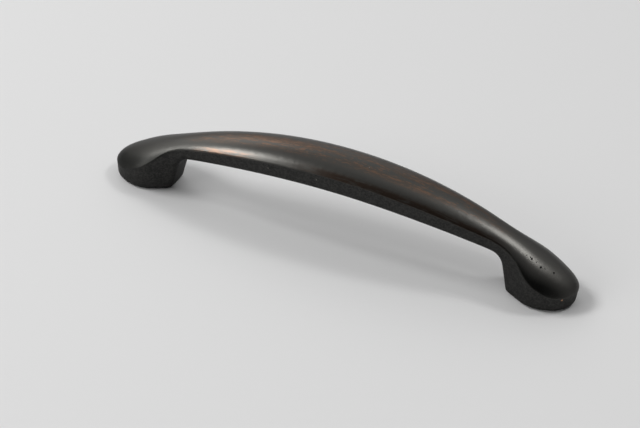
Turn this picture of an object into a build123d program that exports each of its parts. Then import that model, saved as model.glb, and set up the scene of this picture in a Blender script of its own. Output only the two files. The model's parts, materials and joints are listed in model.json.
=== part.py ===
"""Arched cabinet pull with spoon-shaped feet, cast in one piece.

The frame is that of the mounted pull: the origin lies on the mounting face, midway between
the two screw axes, +X runs along the pull and +Z points away from the drawer front.
"""

import os
from math import cos, radians, sin, tan

from build123d import *

# Plan outline at the mounting face, in millimetres
hole_spacing = 128.0  # between the two screw axes
toe_length = 10.5  # from a screw axis to the end of its foot
foot_width = 17.3  # across a foot, at its screw axis
ankle_width = 9.2  # across the bar where it starts to spread into a foot
neck_width = 8.7  # across the bar near its narrowest place
grip_width = 12.8  # across the bar at mid-length
ankle_offset = 9.4  # from a screw axis back to the ankle
neck_offset = 18.2  # from a screw axis back to the neck
wall_draft = 4.9  # degrees by which the walls spread as they rise

# Side view
grip_height = 27.6  # crest of the arch above the mounting face
toe_height = 6.7  # crest line at the end of a foot, before its nose is rounded off
nose_drop = 2.4  # how far the rounded nose falls below that line
finger_height = 18.2  # clear height under the bar at mid-length
heel_height = 11.7  # underside of the bar where it would reach an inner wall
heel_offset = 12.3  # from a screw axis back to the top of the inner wall of its foot
heel_draft = 14.2  # degrees by which an inner wall falls back towards the mounting face
heel_bulge = 0.25  # how far an inner wall falls back from its middle to the ankle's width
underside_radius = 5.2  # in the inner corner of the bar and a foot

# Crown: half an ellipse across the pull, with its depth below the crest
grip_crown = 5.3  # at mid-length
neck_crown = 3.6  # at the neck
foot_crown = 7.6  # at a screw axis
crown_overhang = 0.55  # how far the ellipse runs past each wall
nose_overhang = 0.25  # the same at the nose, where crown and wall run almost smoothly together
nose_flatness = 1.25  # power by which the depth dies away from a screw axis to the nose
shoulder_radius = 0.8  # between the crown and the walls

# Edges
edge_radius = 2.5  # along the lower edges of the bar and down the inner walls
rim_radius = 1.6  # around the mounting face of a foot

# Hole for a No. 8-32 machine screw, at the outer diameter of its thread
thread_diameter = 4.17
hole_depth = 7.0
countersink_diameter = 4.9
countersink_angle = 90.0

# Worked out from the sizes above
screw_x = hole_spacing / 2
toe_x = screw_x + toe_length
neck_x = screw_x - neck_offset
ankle_x = screw_x - ankle_offset
heel_x = screw_x - heel_offset
wall_lean = tan(radians(wall_draft))
heel_lean = tan(radians(heel_draft))
nose_spread = wall_lean * (toe_height - nose_drop)  # of the walls at the height of the nose
cut_margin = 5.0  # how far a cutting shape runs past the metal
wall_top = grip_height + cut_margin

# The crest line and the underside are each one arc over the whole length
crest_rise = grip_height - toe_height
crest_radius = (toe_x**2 + crest_rise**2) / (2 * crest_rise)
underside_rise = finger_height - heel_height
bow_radius = (heel_x**2 + underside_rise**2) / (2 * underside_rise)

# Depth that the crown gains for each millimetre of width, on the bar and towards a foot
bar_gain = (grip_crown - neck_crown) / (grip_width - neck_width)
foot_gain = (foot_crown - neck_crown) / (foot_width - neck_width)

with BuildPart() as handle:
    # Bar, necks and feet as one closed outline, wider at the top than at the mounting face
    for level in (0.0, wall_top):
        spread = level * wall_lean
        with BuildSketch(Plane.XY.offset(level)):
            with BuildLine():
                side = Spline(
                    (0, grip_width / 2 + spread),
                    (neck_x, neck_width / 2 + spread),
                    (ankle_x, ankle_width / 2 + spread),
                    (screw_x, foot_width / 2 + spread),
                    tangents=[(1, 0), (1, 0)],
                )
                EllipticalCenterArc((screw_x, 0), toe_length + spread, foot_width / 2 + spread, arc_size=90)
                mirror(about=Plane.YZ)
                mirror(about=Plane.XZ)
            make_face()
    loft()

    # Stations of the crown from mid-length to the nose: place, half width, depth and crest
    stations = []
    for share in (0.0, 0.2, 0.4, 0.55, 0.7, 0.8, 0.9, 1.0):
        point = side @ share
        width = 2 * (point.Y - wall_top * wall_lean)
        gain = foot_gain if point.X > neck_x else bar_gain
        depth = neck_crown + gain * (width - neck_width)
        crest = grip_height - crest_radius + (crest_radius**2 - point.X**2) ** 0.5
        half = width / 2 + wall_lean * (crest - depth / 2) + crown_overhang
        stations.append((point.X, half, depth, crest))
    for turn in (22, 42, 58, 70, 80):
        shrink = cos(radians(turn))
        overhang = nose_overhang + (crown_overhang - nose_overhang) * shrink + nose_spread
        x = screw_x + (toe_length + overhang) * sin(radians(turn))
        half = (foot_width / 2 + overhang) * shrink
        depth = foot_crown * shrink**nose_flatness
        crest = grip_height - crest_radius + (crest_radius**2 - x**2) ** 0.5
        stations.append((x, half, depth, crest - nose_drop * (1 - shrink) ** 2))
    mirrored = [(-x, half, depth, crest) for x, half, depth, crest in reversed(stations[1:])]

    # Crowned top: half-ellipses from one nose to the other
    for x, half, depth, crest in mirrored + stations:
        with BuildSketch(Plane.YZ.offset(x)):
            with BuildLine():
                EllipticalCenterArc((0, crest - depth), half, depth, arc_size=180)
                Polyline(
                    (-half, crest - depth),
                    (-half, -3 * cut_margin),
                    (half, -3 * cut_margin),
                    (half, crest - depth),
                )
            make_face()
    loft(mode=Mode.INTERSECT)
    fillet(handle.faces().sort_by(Axis.Z)[-1].edges(), shoulder_radius)

    # Finger opening: arched underside between two inner walls that are rounded in plan
    for share in (-1.0, -0.5, 0.0, 0.5, 1.0):
        y = share * (foot_width / 2 + 0.6 * cut_margin)
        end = heel_x + heel_bulge * (2 * y / ankle_width) ** 2
        top = finger_height - bow_radius + (bow_radius**2 - end**2) ** 0.5
        foot_end = end + (top + cut_margin) * heel_lean
        with BuildSketch(Plane.XZ.offset(-y)) as opening:
            with BuildLine():
                ThreePointArc((-end, top), (0, finger_height), (end, top))
                Polyline(
                    (end, top),
                    (foot_end, -cut_margin),
                    (-foot_end, -cut_margin),
                    (-end, top),
                )
            make_face()
            fillet(opening.vertices().group_by(Axis.Y)[-1], underside_radius)
    loft(mode=Mode.SUBTRACT)

    # Lower edges: each runs down one inner wall, along the bar and down the other wall
    cut_edges = handle.edges(Select.LAST).filter_by(lambda edge: edge.center().Z > rim_radius)
    fillet(cut_edges.filter_by(lambda edge: abs(edge.center().Y) > edge_radius), edge_radius)
    fillet(handle.faces().group_by(Axis.Z)[0].edges(), rim_radius)

    # Tapped holes, open at the mounting face
    with Locations(Plane.XY.rotated((180, 0, 0))):
        with GridLocations(hole_spacing, 0, 2, 1):
            CounterSinkHole(
                thread_diameter / 2,
                countersink_diameter / 2,
                depth=hole_depth,
                counter_sink_angle=countersink_angle,
            )

handle.part.label = "handle"
os.makedirs("parts", exist_ok=True)
export_step(handle.part, "parts/handle.step")
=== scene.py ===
# %% [markdown]
# # An arched cabinet pull in oil-rubbed bronze
# The pull is one zinc casting. The CAD model already holds its shape, so this lesson loads it
# as it is and spends its effort on what CAD leaves out: the rubbed finish of the crown, the cast
# sides, the threads in the screw holes, and the light of a small product studio.

# %% Load the packed part
import json
from math import cos, pi, radians, sin

import bpy
import numpy as np
from mathutils import Matrix, Vector


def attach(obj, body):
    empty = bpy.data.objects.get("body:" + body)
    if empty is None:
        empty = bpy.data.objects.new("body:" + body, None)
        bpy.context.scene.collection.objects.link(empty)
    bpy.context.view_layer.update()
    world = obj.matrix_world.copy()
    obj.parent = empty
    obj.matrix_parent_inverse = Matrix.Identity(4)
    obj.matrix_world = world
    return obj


MM = 1000  # millimetres in a metre

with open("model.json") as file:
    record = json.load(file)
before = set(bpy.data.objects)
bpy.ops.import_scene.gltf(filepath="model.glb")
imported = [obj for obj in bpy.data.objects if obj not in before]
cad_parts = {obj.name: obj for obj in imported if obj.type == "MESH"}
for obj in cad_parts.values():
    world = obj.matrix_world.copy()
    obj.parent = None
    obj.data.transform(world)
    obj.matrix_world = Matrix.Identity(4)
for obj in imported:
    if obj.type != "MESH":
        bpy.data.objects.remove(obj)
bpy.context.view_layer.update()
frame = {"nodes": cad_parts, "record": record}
handle = frame["nodes"]["handle"]

# %% [markdown]
# ## The camera
# The picture was taken from a little above and to the right, with a medium telephoto lens held
# slightly tilted. A camera could be aimed with Euler angles or a constraint. Its three axes are
# the columns of its matrix, though, so it is plainer to work those out: back points from the
# pull to the lens, right and up span the picture, and the roll turns those two.

# %% A direction from two angles


def towards(azimuth, elevation):
    """Unit vector from angles in degrees: azimuth 0 is in front (-Y) and 90 at the right (+X)."""
    turn, rise = radians(azimuth), radians(elevation)
    return Vector((sin(turn) * cos(rise), -cos(turn) * cos(rise), sin(rise)))


print("the front lies towards", [round(v, 3) for v in towards(0, 0)])

# %% Camera
AZIMUTH, ELEVATION, ROLL = 21.69, 35.27, radians(3.89)
DISTANCE = 0.4774  # in metres
TARGET = Vector((-0.00603, 0.0, 0.00434))
SENSOR_WIDTH, FOCAL_LENGTH = 36.0, 88.99  # in millimetres
NEAREST = 0.01  # the camera shows nothing closer than this, in metres

back = towards(AZIMUTH, ELEVATION)
level_right = towards(AZIMUTH + 90, 0)
level_up = back.cross(level_right)
right = level_right * cos(ROLL) + level_up * sin(ROLL)
up = level_up * cos(ROLL) - level_right * sin(ROLL)

camera_data = bpy.data.cameras.new("camera")
camera_data.sensor_fit = "HORIZONTAL"
camera_data.sensor_width = SENSOR_WIDTH
camera_data.lens = FOCAL_LENGTH
camera_data.clip_start = NEAREST
camera = bpy.data.objects.new("camera", camera_data)
bpy.context.scene.collection.objects.link(camera)
turned = Matrix((right, up, back)).transposed().to_4x4()
camera.matrix_world = Matrix.Translation(TARGET + back * DISTANCE) @ turned
bpy.context.scene.camera = camera
print("camera at", [round(v, 4) for v in camera.matrix_world.translation])

# %% [markdown]
# ## Shader maths as Python
# A finish is mostly arithmetic on positions and noise. Wiring that by hand hides the formula, so
# one small class wraps a socket and overloads the operators: writing `1 - mask` adds the Math
# nodes for it. Every other kind of node comes from the one function `add_node`.


# %% Expressions for shaders
class Socket:
    """An output of a node, with arithmetic that adds Math nodes to its tree."""

    def __init__(self, tree, output):
        self.tree = tree
        self.output = output

    def plug(self, target):
        self.tree.links.new(self.output, target)

    def node(self, kind, settings=None, **inputs):
        return add_node(self.tree, kind, settings, **inputs)

    def math(self, operation, *operands):
        settings = {"operation": operation}
        return self.node("ShaderNodeMath", settings, slots=(self, *operands))["Value"]

    def __add__(self, other):
        return self.math("ADD", other)

    def __sub__(self, other):
        return self.math("SUBTRACT", other)

    def __rsub__(self, other):
        return self * -1 + other

    def __mul__(self, other):
        return self.math("MULTIPLY", other)

    def __truediv__(self, other):
        return self.math("DIVIDE", other)

    def __abs__(self):
        return self.math("ABSOLUTE")

    __radd__ = __add__
    __rmul__ = __mul__

    def highest(self, other):
        return self.math("MAXIMUM", other)

    def step(self, low, high):
        """0 up to low, 1 from high on, smooth between; a falling step has low above high."""
        if low > high:
            return 1 - self.step(high, low)
        settings = {"interpolation_type": "SMOOTHSTEP"}
        inputs = {"Value": self, "From_Min": low, "From_Max": high}
        return self.node("ShaderNodeMapRange", settings, **inputs)["Result"]

    def between(self, start, full, fade, end):
        """0 outside start and end, 1 from full to fade, smooth between."""
        return self.step(start, full) * self.step(end, fade)


print("a socket can", [name for name in vars(Socket) if not name.startswith("_")])


# %% Nodes by name
class Node:
    """A node whose outputs are read by name as sockets."""

    def __init__(self, tree, made):
        self.tree = tree
        self.made = made

    def __getitem__(self, name):
        found = next(s for s in self.made.outputs if name in (s.name, s.identifier))
        return Socket(self.tree, found)


def put(value, target):
    """Links a socket to an input, or sets the input to a plain value."""
    if isinstance(value, Socket):
        value.plug(target)
    else:
        target.default_value = value


def add_node(tree, kind, settings=None, slots=(), **inputs):
    """Adds a node: settings first, then inputs by place (slots) or by name, with _ for a space."""
    made = tree.nodes.new(kind)
    for name, value in (settings or {}).items():
        setattr(made, name, value)
    for place, value in enumerate(slots):
        put(value, made.inputs[place])
    for name, value in inputs.items():
        words = name.replace("_", " ")
        named = (s for s in made.inputs if words in (s.name, s.identifier.replace("_", " ")))
        put(value, next(s for s in named if s.enabled))
    return Node(tree, made)


print("helpers:", put.__name__, add_node.__name__)

# %% [markdown]
# ## Where the finish changes
# The crown was polished before it was blackened, and the walls below it were left as they came
# from the mould. Both lie on one solid, so the finish has to tell them apart. It could be painted
# by hand or read from a map. The direction of the surface is enough: the crown looks up and the
# walls lean slightly down. Along the bar the turn happens within the narrow shoulder. Around the
# toes the polish fades out slowly, so the step there is wider.

# %% A fresh material


def new_material(name):
    """A material with a fresh tree, whose Principled shader is linked to the output."""
    material = bpy.data.materials.new(name)
    material.use_nodes = True
    nodes = material.node_tree.nodes
    nodes.clear()
    shader = nodes.new("ShaderNodeBsdfPrincipled")
    output = nodes.new("ShaderNodeOutputMaterial")
    material.node_tree.links.new(shader.outputs[0], output.inputs[0])
    return material, shader


bronze, shader = new_material("oil_rubbed_bronze")
tree = bronze.node_tree
print("material:", bronze.name)

# %% Crown and walls
BAR = (56, 38)  # millimetres from the middle: past the bar, on it
TOE = (57, 70)  # millimetres from the middle: before the toes, on them
SHOULDER = (0.10, 0.34)  # upward part of the normal: wall, crown
SOFT_SHOULDER = (-0.20, 0.66)  # the same around the toes

coordinates = add_node(tree, "ShaderNodeTexCoord")
place = coordinates["Object"]
position = add_node(tree, "ShaderNodeSeparateXYZ", Vector=place)
x, y = (position[axis] * MM for axis in "XY")
facing_up = add_node(tree, "ShaderNodeSeparateXYZ", Vector=coordinates["Normal"])["Z"]
on_bar = abs(x).step(*BAR)
toe = abs(x).step(*TOE)
crown = facing_up.step(*SHOULDER) * (1 - toe) + facing_up.step(*SOFT_SHOULDER) * toe
print("crown mask:", len(tree.nodes), "nodes")

# %% [markdown]
# ## Copper that shows through
# Oil-rubbed bronze is copper plate under a dark patina, rubbed back by hand along the bar, so
# the copper shows as a brown tinge with fine wisps that run lengthwise. Noise stretched about six
# times along the pull has that look. The width is divided by how far the bar has narrowed, so
# that the wisps close up towards the necks as the strokes of a cloth would.

# %% Noise along the bar
NARROWING = 88.0  # the bar's width falls as 1 - (x / NARROWING) squared
STREAK_ROUGHNESS = 0.6
MEAN = 0.5  # the middle value of any noise

lane = y / (1 - (x / NARROWING) * (x / NARROWING))


def noise(vector, scale, detail, roughness):
    """Noise from 0 to 1 with this many waves to a unit of the vector."""
    inputs = {"Vector": vector, "Scale": scale, "Detail": detail, "Roughness": roughness}
    return add_node(tree, "ShaderNodeTexNoise", **inputs)["Fac"]


def streaks(along, across, detail, shift):
    """Noise with this many waves a millimetre along the bar and across it."""
    flow = add_node(tree, "ShaderNodeCombineXYZ", X=x * along, Y=lane * across, Z=shift)
    return noise(flow["Vector"], 1.0, detail, STREAK_ROUGHNESS)


fine = streaks(along=0.22, across=1.3, detail=3.0, shift=0.0)
broken = streaks(along=0.7, across=2.2, detail=2.0, shift=4.4)
broad = streaks(along=0.045, across=0.34, detail=2.0, shift=7.3)
print("streaks:", len(tree.nodes), "nodes so far")

# %% Tinge and wisps
CREST = 0.2  # the middle of the rubbed strip, in millimetres beyond the middle of the bar
STRIP = (5.6, 1.8)  # millimetres from there: beside the strip, on it
TINGED, WORN = (0.34, 0.60), (0.47, 0.70)  # values of the noise: untouched, rubbed
BROKEN_PART, BROAD_PART = 0.9, 0.6  # how much the coarser streaks break up the fine ones

crest_line = abs(lane - CREST).step(*STRIP) * on_bar
tinge = broad.step(*TINGED) * crest_line
wear = fine + (broken - MEAN) * BROKEN_PART + (broad - MEAN) * BROAD_PART
wisps = wear.step(*WORN) * crest_line
print("wisps:", len(tree.nodes), "nodes so far")

# %% [markdown]
# ## Rubbed edge and casting pits
# The shoulder took the most rubbing, so a brown band runs above it, broken by noise. The band is
# also darker than the patina, as painted shade over the shoulder. At the left neck it is paler,
# where the rubbing went deeper. Near the end of the right foot the metal has a few pinholes, as
# die castings do. A pit is a ball of influence: the distance to its middle, turned into a step,
# both darkens and dents the surface. Pale specks and a spot of bare copper are made in the same
# way, without the dent.

# %% Brown band and painted shade over the shoulder
BAND = (0.12, 0.40, 0.74, 0.87)  # upward part of the normal
BROWN_SHADE_STRETCH, PALE_STRETCH = (-16, 2, 46, 58), (-48, -42, -34, -22)  # x in millimetres
BROWN_SHADE_RUBBED, PALE_RUBBED = (0.24, 0.52), (0.36, 0.60)  # values of the noise: untouched, rubbed

near_shoulder = facing_up.between(*BAND)
rubbed = streaks(along=0.20, across=1.6, detail=3.0, shift=3.1)
# The band is partly brown from rubbing and partly painted shade: a darker colour over the
# shoulder.
rubbed_edge_and_painted_shade = near_shoulder * x.between(*BROWN_SHADE_STRETCH) * rubbed.step(*BROWN_SHADE_RUBBED)
pale_edge = near_shoulder * x.between(*PALE_STRETCH) * rubbed.step(*PALE_RUBBED)
print("rubbed edge:", len(tree.nodes), "nodes so far")

# %% Pits and specks
PITS = (
    (60.9, -3.5, 13.5, 0.36),
    (64.0, -3.9, 11.9, 0.42),
    (67.7, -2.6, 10.3, 0.38),
    (60.4, -3.2, 13.8, 0.24),
    (62.4, -3.4, 12.9, 0.22),
    (59.3, -3.4, 14.3, 0.20),
    (65.1, -3.5, 11.5, 0.20),
)  # middle and radius, in millimetres
SPECKS = ((9.1, -1.9, 27.2, 0.24), (-20.3, -7.9, 21.1, 0.26), (-4.6, -8.3, 22.2, 0.26))
BARE_SPOT = (72.0, -6.2, 4.5, 0.44)
FULL_PART = 0.3  # a spot has its full strength up to this part of its radius


def spot(middle_x, middle_y, middle_z, radius):
    """1 at a place on the surface, falling to 0 at the radius from it."""
    middle = (middle_x / MM, middle_y / MM, middle_z / MM)
    settings = {"operation": "DISTANCE"}
    apart = add_node(tree, "ShaderNodeVectorMath", settings, slots=(place, middle))["Value"]
    return apart.step(radius / MM, FULL_PART * radius / MM)


def spots(table):
    """The highest of the spots in a table of middles and radii."""
    found = spot(*table[0])
    for row in table[1:]:
        found = found.highest(spot(*row))
    return found


pits, specks, bare = spots(PITS), spots(SPECKS), spot(*BARE_SPOT)
print("pits:", len(PITS), "pale specks:", len(SPECKS))

# %% [markdown]
# ## The casting's skin
# The walls have the fine grain of the mould, about half a millimetre, while the crown is satin
# with only a trace of it. Grain could be sculpted, but at this size a bump on the normal looks
# the same and costs no triangles. The same noise breaks up colour and roughness a little, because
# a cast surface is never even. The flanks of the feet's crowns are given a darker colour as
# painted shade, and their ends are duller.

# %% Grain
GRAIN, MOTTLE, CLOUD = 1700.0, 700.0, 90.0  # waves in a metre

grain = noise(place, GRAIN, detail=3.0, roughness=0.65)
mottle = noise(place, MOTTLE, detail=3.0, roughness=0.6)
cloud = noise(place, CLOUD, detail=2.0, roughness=0.5)
print("grain", round(MM / GRAIN, 2), "mm, mottle", round(MM / MOTTLE, 2), "mm")

# %% Layers of colour


def mix_colour(amount, plain, laid_over):
    """The plain colour where amount is 0 and the other where it is 1."""
    first, second = (c if isinstance(c, Socket) else (*c, 1.0) for c in (plain, laid_over))
    inputs = {"Factor_Float": amount, "A_Color": first, "B_Color": second}
    return amount.node("ShaderNodeMix", {"data_type": "RGBA"}, **inputs)["Result_Color"]


PATINA = (0.078, 0.076, 0.071)
COPPER = (0.176, 0.104, 0.069)
BROWN = (0.104, 0.068, 0.048)
# Brown of the rubbed shoulder, darkened as painted shade.
BROWN_AND_PAINTED_SHADE = (0.044, 0.029, 0.021)
FOOT_PAINTED_SHADE = (0.031, 0.031, 0.029)
TINGE_PART, WISP_PART, BROWN_SHADE_PART, PALE_PART = 0.6, 0.8, 0.9, 0.6  # how far each layer covers
# Painted shade: a darker patina colour on the lower flanks of the feet's crowns.
LEFT_SHADE_X, RIGHT_SHADE_X = (-43, -58), (46, 60, 65, 74)  # x in millimetres
LEFT_SHADE_FLANK, RIGHT_SHADE_FLANK = (0.93, 0.70), (0.80, 0.60)  # upward part of the normal: top, flank

left_foot_painted_shade = x.step(*LEFT_SHADE_X) * facing_up.step(*LEFT_SHADE_FLANK)
right_foot_painted_shade = x.between(*RIGHT_SHADE_X) * facing_up.step(*RIGHT_SHADE_FLANK)
polished = mix_colour(tinge * TINGE_PART, PATINA, BROWN)
polished = mix_colour(wisps * WISP_PART, polished, COPPER)
polished = mix_colour(rubbed_edge_and_painted_shade * BROWN_SHADE_PART, polished, BROWN_AND_PAINTED_SHADE)
polished = mix_colour(pale_edge * PALE_PART, polished, COPPER)
# The flanks of the feet take the painted shade colour.
polished = mix_colour(left_foot_painted_shade.highest(right_foot_painted_shade), polished, FOOT_PAINTED_SHADE)
print("crown colour:", len(tree.nodes), "nodes so far")

# %% Walls and spots
CAST = (0.028, 0.028, 0.027)
CAST_LIGHT = (0.054, 0.053, 0.051)
PIT = (0.014, 0.014, 0.014)
SPECK = (0.20, 0.19, 0.17)
BARE = (0.42, 0.23, 0.14)
MOTTLE_PART, GRAIN_PART = 0.3, 0.7
LIGHT_GRAINS = (0.38, 0.64)  # values of the noise: dark grains, light grains

grains = (mottle * MOTTLE_PART + grain * GRAIN_PART).step(*LIGHT_GRAINS)
colour = mix_colour(crown, mix_colour(grains, CAST, CAST_LIGHT), polished)
for mask, spot_colour in ((pits, PIT), (specks, SPECK), (bare, BARE)):
    colour = mix_colour(mask, colour, spot_colour)
put(colour, shader.inputs["Base Color"])
print("colour:", len(tree.nodes), "nodes so far")

# %% Roughness
CAST_ROUGHNESS = 0.52
POLISH, DULLING = 0.21, 0.09  # how much smoother the crown is, and how much less at the ends
MOTTLE_ROUGHNESS, CLOUD_ROUGHNESS, PIT_ROUGHNESS = 0.03, 0.04, 0.3
LEFT_END, RIGHT_END = (-50, -64), (62, 78)  # x in millimetres: polished, dull

dull = x.step(*LEFT_END).highest(x.step(*RIGHT_END))
gloss = crown * (POLISH - dull * DULLING)
uneven = (mottle - MEAN) * MOTTLE_ROUGHNESS + (cloud - MEAN) * CLOUD_ROUGHNESS
put(CAST_ROUGHNESS - gloss + uneven + pits * PIT_ROUGHNESS, shader.inputs["Roughness"])
print("roughness:", len(tree.nodes), "nodes so far")

# %% Dents
WALL_GRAIN, WALL_MOTTLE = 0.06, 0.05  # heights in millimetres
CROWN_GRAIN, CROWN_MOTTLE = 0.004, 0.004
PIT_DEPTH = 0.25


def skin_height(on_wall, on_crown):
    """One height on the walls and another on the crown."""
    return on_wall - crown * (on_wall - on_crown)


relief = (grain - MEAN) * skin_height(WALL_GRAIN, CROWN_GRAIN)
relief += (mottle - MEAN) * skin_height(WALL_MOTTLE, CROWN_MOTTLE) - pits * PIT_DEPTH
bump = add_node(tree, "ShaderNodeBump", Strength=1.0, Distance=1 / MM, Height=relief)
put(bump["Normal"], shader.inputs["Normal"])
print("dents:", len(tree.nodes), "nodes so far")

# %% Metal
METALLIC = 0.95
GRAZING = 0.74  # below 1 the metal reflects less at grazing angles, as a patina does

shader.inputs["Metallic"].default_value = METALLIC
shader.inputs["Specular Tint"].default_value = (GRAZING, GRAZING, GRAZING, 1)
handle.data.materials.clear()
handle.data.materials.append(bronze)
print("oil-rubbed bronze:", len(tree.nodes), "nodes")

# %% [markdown]
# ## Threads in the screw holes
# Each foot is tapped for a machine screw. The CAD model keeps a plain hole at the outer diameter
# of the thread, so the ridge is added here. It could be modelled with a Screw modifier. A profile
# of four points carried along a helix gives the same and says plainly what a thread is. The ridge
# shrinks into the wall at both ends, as it does where a tap starts.

# %% Helix of the ridge
hole_pattern = frame["record"]["mounts"][0]["dims"]
HOLE_X, HOLE_RADIUS = hole_pattern["spacing_x_mm"] / 2, hole_pattern["hole_r_mm"]
PITCH, RIDGE, THREAD_START, THREAD_END = 0.794, 0.36, 0.7, 6.4  # in millimetres
SUNK = 0.03  # how deep the root of the ridge lies in the wall, in millimetres
ROOT_HALF, CREST_HALF = 0.40, 0.06  # half the width of the ridge, in pitches
RUN_OUT = 0.5  # turns over which the ridge grows at each end
TIP = 0.02  # the part of the ridge that is left at its very end
STEPS_PER_TURN = 40


def ridge_points(middle_x):
    """A helix z = start + pitch * turns, at the hole's radius less a four-point profile."""
    turns = (THREAD_END - THREAD_START) / PITCH
    turn = np.linspace(0.0, turns, round(turns * STEPS_PER_TURN))[:, None]
    taper = np.clip(np.minimum(turn, turns - turn) / RUN_OUT, TIP, 1.0)
    inward = np.array([-SUNK, RIDGE, RIDGE, -SUNK]) * taper
    upward = np.array([-ROOT_HALF, -CREST_HALF, CREST_HALF, ROOT_HALF]) * PITCH * taper
    angle, radius = 2 * pi * turn, HOLE_RADIUS - inward
    ridge_x, ridge_y = middle_x + radius * np.cos(angle), radius * np.sin(angle)
    return np.stack([ridge_x, ridge_y, THREAD_START + PITCH * turn + upward], axis=-1) / MM


print("ridge:", ridge_points(0.0).shape[0], "profiles of four points")

# %% Thread ridges


def thread_ridge(name, middle_x):
    """Quads between neighbouring profiles of the helix, closed by a face at each end."""
    points = ridge_points(middle_x)
    rows, columns = points.shape[:2]
    row, column = np.meshgrid(np.arange(rows - 1), np.arange(columns), indexing="ij")
    after = (column + 1) % columns
    corner_rows = np.stack([row, row, row + 1, row + 1], axis=-1)
    quads = corner_rows * columns + np.stack([column, after, after, column], axis=-1)
    ends = [list(reversed(range(columns))), [(rows - 1) * columns + c for c in range(columns)]]
    mesh = bpy.data.meshes.new(name)
    mesh.from_pydata(points.reshape(-1, 3).tolist(), [], quads.reshape(-1, 4).tolist() + ends)
    mesh.update()
    mesh.materials.append(bronze)
    piece = bpy.data.objects.new(name, mesh)
    bpy.context.scene.collection.objects.link(piece)
    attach(piece, "root")
    return piece


for side, sign in (("left", -1), ("right", 1)):
    ridge = thread_ridge(f"{side}_thread", sign * HOLE_X)
    print(ridge.name, len(ridge.data.polygons), "faces")

# %% [markdown]
# ## Paper
# The pull stands on a sheet of pale paper. A large plane is enough, because paper this smooth
# shows nothing but its colour and the soft shadow.

# %% Floor
HALF = 4.0  # half the width of the sheet, in metres
PAPER_GREY, PAPER_ROUGHNESS, PAPER_SHEEN = 0.73, 0.9, 0.1

corners = [(-HALF, -HALF, 0), (HALF, -HALF, 0), (HALF, HALF, 0), (-HALF, HALF, 0)]
floor_mesh = bpy.data.meshes.new("paper")
floor_mesh.from_pydata(corners, [], [(0, 1, 2, 3)])
floor = bpy.data.objects.new("paper", floor_mesh)
bpy.context.scene.collection.objects.link(floor)
paper, paper_shader = new_material("paper")
paper_shader.inputs["Base Color"].default_value = (PAPER_GREY, PAPER_GREY, PAPER_GREY, 1)
paper_shader.inputs["Roughness"].default_value = PAPER_ROUGHNESS
paper_shader.inputs["Specular IOR Level"].default_value = PAPER_SHEEN
floor_mesh.materials.append(paper)
print("paper:", 2 * HALF, "m wide")

# %% [markdown]
# ## Light
# A dark satin crown is mostly a mirror of the room, so the light is set by what it shows. A small
# bright soft box at the left gives the highlight on the left neck, and a weaker one behind at the
# right the one on the right neck. A wide faint one at the far left lifts the crest, and another in
# front at the left lifts the walls and softens the shadow.

# %% Soft boxes
LAMP_DISTANCE = 2.0  # in metres


def soft_box(name, azimuth, elevation, width, height, radiance):
    """An area lamp turned to the pull. Its power is radiance times pi times its area."""
    lamp = bpy.data.lights.new(name, "AREA")
    lamp.shape = "RECTANGLE"
    lamp.size, lamp.size_y = width, height
    lamp.energy = radiance * pi * width * height
    away = towards(azimuth, elevation)
    facing = away.to_track_quat("Z", "Y").to_matrix().to_4x4()
    box = bpy.data.objects.new(name, lamp)
    box.matrix_world = Matrix.Translation(away * LAMP_DISTANCE) @ facing
    bpy.context.scene.collection.objects.link(box)
    print(name, "lamp", round(lamp.energy, 2), "W")


soft_box("key", azimuth=-75, elevation=44, width=0.76, height=0.52, radiance=15.2)
soft_box("fill", azimuth=135, elevation=55, width=0.46, height=0.40, radiance=11.4)
soft_box("glow", azimuth=-117, elevation=32, width=1.80, height=0.80, radiance=1.50)
soft_box("front", azimuth=-44, elevation=25, width=1.40, height=0.80, radiance=3.4)

# %% [markdown]
# ## Room
# Between the lamps the crown shows the room itself: pale overhead and behind, a little paler at
# the far left and at the right, and dark on the side of the lens. The dark band over the shoulder
# is that dark side. Each pale part is a soft round patch around one direction.

# %% A room with a dark side
DARK_SIDE = 0.02  # brightness of the room outside its pale patches

world = bpy.data.worlds.new("room")
world.use_nodes = True
bpy.context.scene.world = world
room = world.node_tree
room.nodes.clear()
direction = add_node(room, "ShaderNodeTexCoord")["Generated"]
look = add_node(room, "ShaderNodeSeparateXYZ", Vector=direction)


def patch(azimuth, elevation, edge, full, brightness):
    """Brightness of a patch around a direction, between two cosines of the angle to it."""
    aim = towards(azimuth, elevation)
    facing = look["X"] * aim.x + look["Y"] * aim.y + look["Z"] * aim.z
    return facing.step(edge, full) * brightness


print("dark side of the room:", DARK_SIDE)

# %% Pale patches of the room
overhead = patch(azimuth=0, elevation=90, edge=0.55, full=1.0, brightness=0.24)
behind = patch(azimuth=180, elevation=45, edge=0.55, full=0.98, brightness=0.50)
far_left = patch(azimuth=-148, elevation=20, edge=0.86, full=0.99, brightness=0.45)
far_right = patch(azimuth=150, elevation=30, edge=0.80, full=0.99, brightness=0.04)
at_right = patch(azimuth=98, elevation=14, edge=0.78, full=0.98, brightness=0.26)
strength = DARK_SIDE + overhead + behind + far_left + far_right + at_right
shine = add_node(room, "ShaderNodeBackground", Color=(1, 1, 1, 1), Strength=strength)
ending = room.nodes.new("ShaderNodeOutputWorld")
shine["Background"].plug(ending.inputs[0])
bpy.context.scene.view_settings.view_transform = "Standard"
print("room:", len(room.nodes), "nodes")

# %% [markdown]
